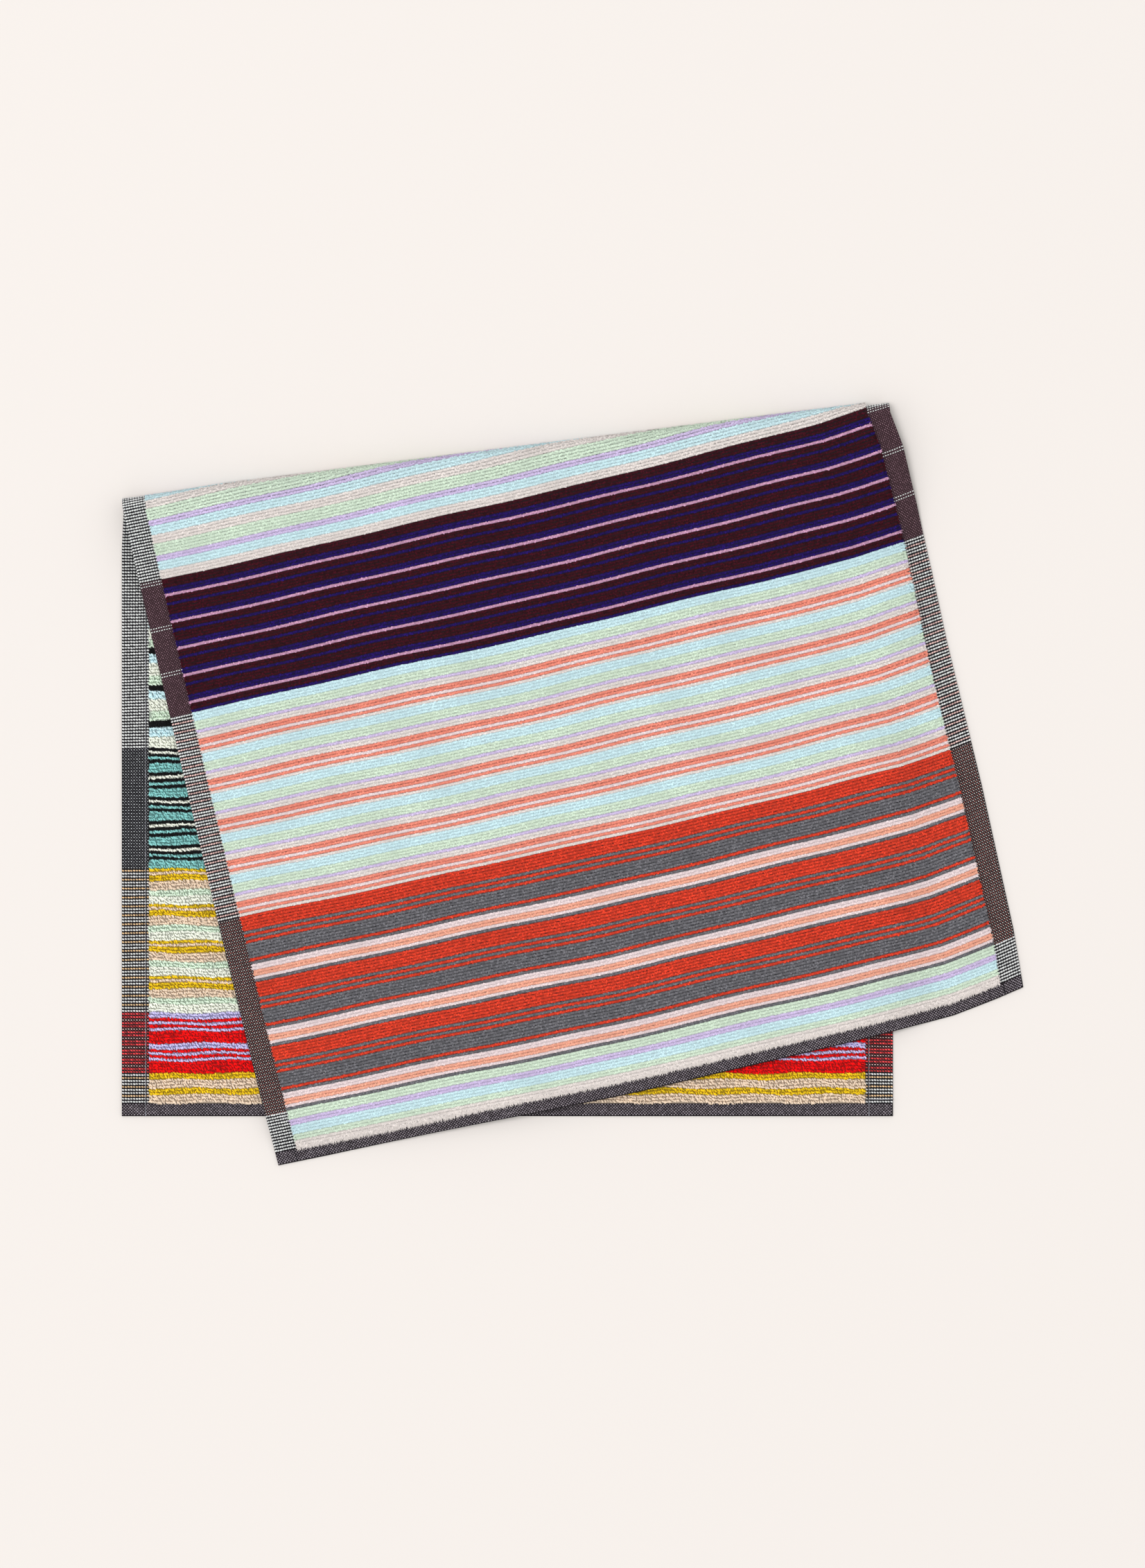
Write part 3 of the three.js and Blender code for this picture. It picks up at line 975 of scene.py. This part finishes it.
def border_points(rows, side, first_row, last_row, seed):
    """Floats on one side of the cloth, both borders together, in the rows from first to last."""
    draw = np.random.default_rng(seed)
    made = [border_row(rows, row) for row in range(first_row, last_row)]
    panel_half = FACE_HALF if side > 0 else BACK_HALF
    columns = round((HALF - panel_half) / FLOAT_PITCH)
    spots = np.meshgrid(
        np.arange(first_row, last_row), np.arange(columns), (-1.0, 1.0), (0, 1), indexing="ij"
    )
    row, column, edge, lattice = (spot.ravel() for spot in spots)
    share = np.array([(entry[2], entry[4]) for entry in made])[row - first_row, lattice]
    colour = np.array([(YARNS[entry[1]], YARNS[entry[3]]) for entry in made])[row - first_row, lattice]
    woven = (share > 0) & ((column < columns - 1) | (lattice == 0))
    parts = (row, column, edge, lattice, share, colour)
    row, column, edge, lattice, share, colour = (part[woven] for part in parts)
    pitch = (HALF - panel_half) / columns
    across = edge * (panel_half + (column + 0.5 + 0.5 * lattice) * pitch)
    across = across + draw.uniform(-FLOAT_SHIFT, FLOAT_SHIFT, len(row))
    length = row_length(across, row + 0.5 + 0.5 * lattice)
    length = length + draw.uniform(-FLOAT_SPREAD, FLOAT_SPREAD, len(row))
    height = side_height(np.clip(across, -HALF + ROLL, HALF - ROLL), length, side) - FLOAT_FOOT
    size = np.array(FLOAT_SIZE) * np.stack([share, share, 0.5 + 0.5 * share], -1)
    none = np.zeros((2, len(row)))
    points = yarn_points(across, length, side, height, none, size, dyed(colour, FLOAT_UNEVEN, seed))
    tilt = -FLOAT_TILT + draw.uniform(-TILT_SPREAD, TILT_SPREAD, len(row))
    points["along"] = turned_along(across, length, tilt)
    return across, length, points


float_ends = cut_ends(sides=6, sway=(0.05, 0.05, 0.06), uneven=0.06, seed=5, finish=weave_cotton)
float_across, float_length, float_points = border_points(face_rows, 1, FIRST_TUFTS, PANEL_ROWS, seed=21)
on_show = float_length > lower_length(float_across) + FACE_FLOATS_FROM
plant("face_borders", tuft_tree, float_ends, kept(float_points, on_show))
float_across, float_length, float_points = border_points(back_rows, -1, 0, LAST_BACK_FLOATS, seed=22)
on_show = float_length < lower_length(float_across) + BACK_FLOATS_TO
on_show &= ~hidden(middle_at(float_across, float_length), BANDS_UNSEEN)
plant("back_borders", tuft_tree, float_ends, kept(float_points, on_show))


# The hems: each end of the cloth turned in narrow and woven dense, charcoal with a fine lattice of pale
# dots where the other yarn comes up.
DOT_PITCH = 1.53
DOT_ROWS = 8
DOT_SIZE = (0.48, 0.38, 0.22)
DOT_INSET = 0.35  # the first dot's place, in pitches from the border's edge
DOT_OVERLAP = 0.2
DOT_SHIFT = 0.05
DOT_FOOT = 0.02
DOT_GROWTH = 0.12
DOT_UNEVEN = 0.05
YARNS["dot"] = yarn(134, 126, 133)
dot_row, dot_column = every_pair(np.arange(DOT_ROWS), np.arange(round(CLOTH_WIDTH / DOT_PITCH)))
dot_across = (dot_column + DOT_INSET + 0.5 * (dot_row % 2)) * DOT_PITCH - HALF
dot_step = (HEM_DEPTH - 2 * ROLL + DOT_OVERLAP) / DOT_ROWS
dot_depth = ROLL + (dot_row + 0.5) * dot_step
dot_across = np.clip(dot_across, -HALF + ROLL, HALF - ROLL)


def hem_points(side, length, seed):
    draw = np.random.default_rng(seed)
    across = dot_across + draw.uniform(-DOT_SHIFT, DOT_SHIFT, len(dot_across))
    length = length + draw.uniform(-DOT_SHIFT, DOT_SHIFT, len(dot_across))
    height = side_height(across, length, side) - DOT_FOOT
    size = np.array(DOT_SIZE) * draw.uniform(1 - DOT_GROWTH, 1 + DOT_GROWTH, (len(across), 1))
    colour = np.tile(YARNS["dot"], (len(across), 1))
    none = np.zeros((2, len(across)))
    return yarn_points(across, length, side, height, none, size, dyed(colour, DOT_UNEVEN, seed))


flap_hem = hem_points(1, whole_length(dot_across) - dot_depth, seed=31)
lower_hem = hem_points(-1, dot_depth, seed=32)
on_show = ~hidden(middle_at(dot_across, dot_depth), BANDS_UNSEEN)
plant("flap_hem_dots", tuft_tree, float_ends, flap_hem)
plant("lower_hem_dots", tuft_tree, float_ends, kept(lower_hem, on_show))


# The pile's fringe: the last tufts are cut longer and fall forward over the flap's hem, and shorter ones
# lean out over the borders, so that the velour has a furry edge all round.
FRINGE_LENGTH = 2.1
FRINGE_SHORTEST, FRINGE_LONGEST = 0.55, 1.05  # shares of that length
FRINGE_WIDTH = 0.26
FRINGE_COUNT = 5200
FRINGE_DEPTH = (0.1, 2.2)  # how far back from the hem the long tufts stand
FRINGE_FALL = (0.5, 2.4)  # and how far they lean over it
FRINGE_SWAY = 0.35
FRINGE_FOOT = 0.1
SIDE_ENDS = 14  # for each row, at the two borders together
SIDE_WIDTH = 0.34
SIDE_LENGTH = (1.4, 2.1)
SIDE_PLACE = (-0.1, 0.5)  # in from the pile's edge
SIDE_FALL = (0.1, 0.8)
SIDE_SWAY = 0.2
SIDE_FOOT = 0.3
SIDE_START = 1.1  # fold lengths past the fold's start
fringe_cotton = yarn_material(
    "fringe_cotton", roughness=0.95, sheen=0.1, fibre_scale=2600, fibre_depth=0.0003, unevenness=0.1
)
fringe_ends = cut_ends(sides=3, sway=(0.15, 0.15, 3.14), uneven=0.1, seed=13, finish=fringe_cotton)
draw = np.random.default_rng(41)
fringe_across = draw.uniform(-FACE_HALF, FACE_HALF, FRINGE_COUNT)
fringe_length = whole_length(fringe_across) - HEM_DEPTH - draw.uniform(*FRINGE_DEPTH, FRINGE_COUNT)
fringe_lean = [draw.normal(0, FRINGE_SWAY, FRINGE_COUNT), draw.uniform(*FRINGE_FALL, FRINGE_COUNT)]
fringe_high = draw.uniform(FRINGE_SHORTEST, FRINGE_LONGEST, FRINGE_COUNT) * FRINGE_LENGTH
fringe_size = even_sizes(FRINGE_WIDTH, fringe_high)
fringe_root = np.full(FRINGE_COUNT, REST - PILE_DEPTH - FRINGE_FOOT)
fringe_colours = dyed(np.tile(FACE_ROWS[-1], (FRINGE_COUNT, 1)), spread=0.08, seed=42)
hem_ends = yarn_points(
    fringe_across, fringe_length, 1, fringe_root, np.stack(fringe_lean), fringe_size, fringe_colours
)
plant("hem_fringe", tuft_tree, fringe_ends, hem_ends, softness=0.85)

side_rows = np.repeat(np.arange(FIRST_TUFTS, PANEL_ROWS), SIDE_ENDS)
side_count = len(side_rows)
side_edge = np.tile([-1.0, 1.0], side_count // 2)
side_across = side_edge * (FACE_HALF - draw.uniform(*SIDE_PLACE, side_count))
side_length = row_length(side_across, side_rows + draw.uniform(0.05, 0.95, side_count))
side_lean = [side_edge * draw.uniform(*SIDE_FALL, side_count), draw.normal(0, SIDE_SWAY, side_count)]
side_size = even_sizes(SIDE_WIDTH, draw.uniform(*SIDE_LENGTH, side_count))
side_root = REST - PILE_DEPTH - SIDE_FOOT - pressed(side_across, side_length)
side_colours = dyed(FACE_ROWS[side_rows], spread=0.08, seed=43)
side_ends = yarn_points(
    side_across, side_length, 1, side_root, np.stack(side_lean), side_size, side_colours
)
side_ends = kept(side_ends, fold_lengths(side_across, side_length) > SIDE_START)
plant("side_fringe", tuft_tree, fringe_ends, side_ends, softness=0.85)


# The seams that hold the turned edges: a line of grey stitches down the back of each border and through
# the hem, a short row across the right border above the hem, and a few dark ones in the flap's hem.
SEAM_INSET = 1.9
STITCH_PITCH = 2.4
STITCH_SIZE = (1.5, 0.26, 0.34)
STITCH_START = 1.2
SEAM_END = 3.0  # before the fold
TACK_END = 0.8  # from the cloth's edge
TACK_DEPTH = 2.0  # above the hem
FLAP_STITCHES = (1.3, 3.6, 5.9)  # from the hem's edge
FACE_LIFT, BACK_LIFT = 0.1, 0.3  # how high a stitch lies on the ground of either side
seam_edge, down_border = every_pair((-1.0, 1.0), np.arange(STITCH_START, LOWER_RIGHT, STITCH_PITCH))
tack_across = np.arange(BACK_HALF + STITCH_START, HALF - TACK_END, STITCH_PITCH)
seam_across = np.append(seam_edge * (BACK_HALF + SEAM_INSET), tack_across)
seam_length = np.append(down_border, np.full(len(tack_across), HEM_DEPTH + TACK_DEPTH))
from_hem, flap_across = every_pair(FLAP_STITCHES, (-FACE_HALF - SEAM_INSET, FACE_HALF + SEAM_INSET))
for name, side, thread, across, length in (
    ("seam_stitches", -1, "grey", seam_across, seam_length),
    ("flap_hem_stitches", 1, "ground", flap_across, whole_length(flap_across) - from_hem),
):
    height = side_height(across, length, side) + (FACE_LIFT if side > 0 else BACK_LIFT)
    level = np.zeros((2, len(across)))
    size = np.broadcast_to(STITCH_SIZE, (len(across), 3))
    colour = dyed(np.tile(YARNS[thread], (len(across), 1)), spread=0.06, seed=51)
    stitches = yarn_points(across, length, side, height, level, size, colour)
    runs_down = np.arange(len(across)) < len(down_border)
    stitches["along"] = np.where(runs_down[:, None], directions_at(across, length)[1], stitches["along"])
    on_show = length < lower_length(across) - SEAM_END
    on_show &= ~hidden(stitches["place"], BANDS_UNSEEN)
    plant(name, tuft_tree, float_ends, kept(stitches, on_show | (side > 0)))


# The whole towel: the ground is its cloth and takes the place of the plain solid. Everything that is woven
# or sewn on it goes with it.
for piece in soft_pieces:
    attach(piece, "root")
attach(woven_ground, "root")
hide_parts("towel")
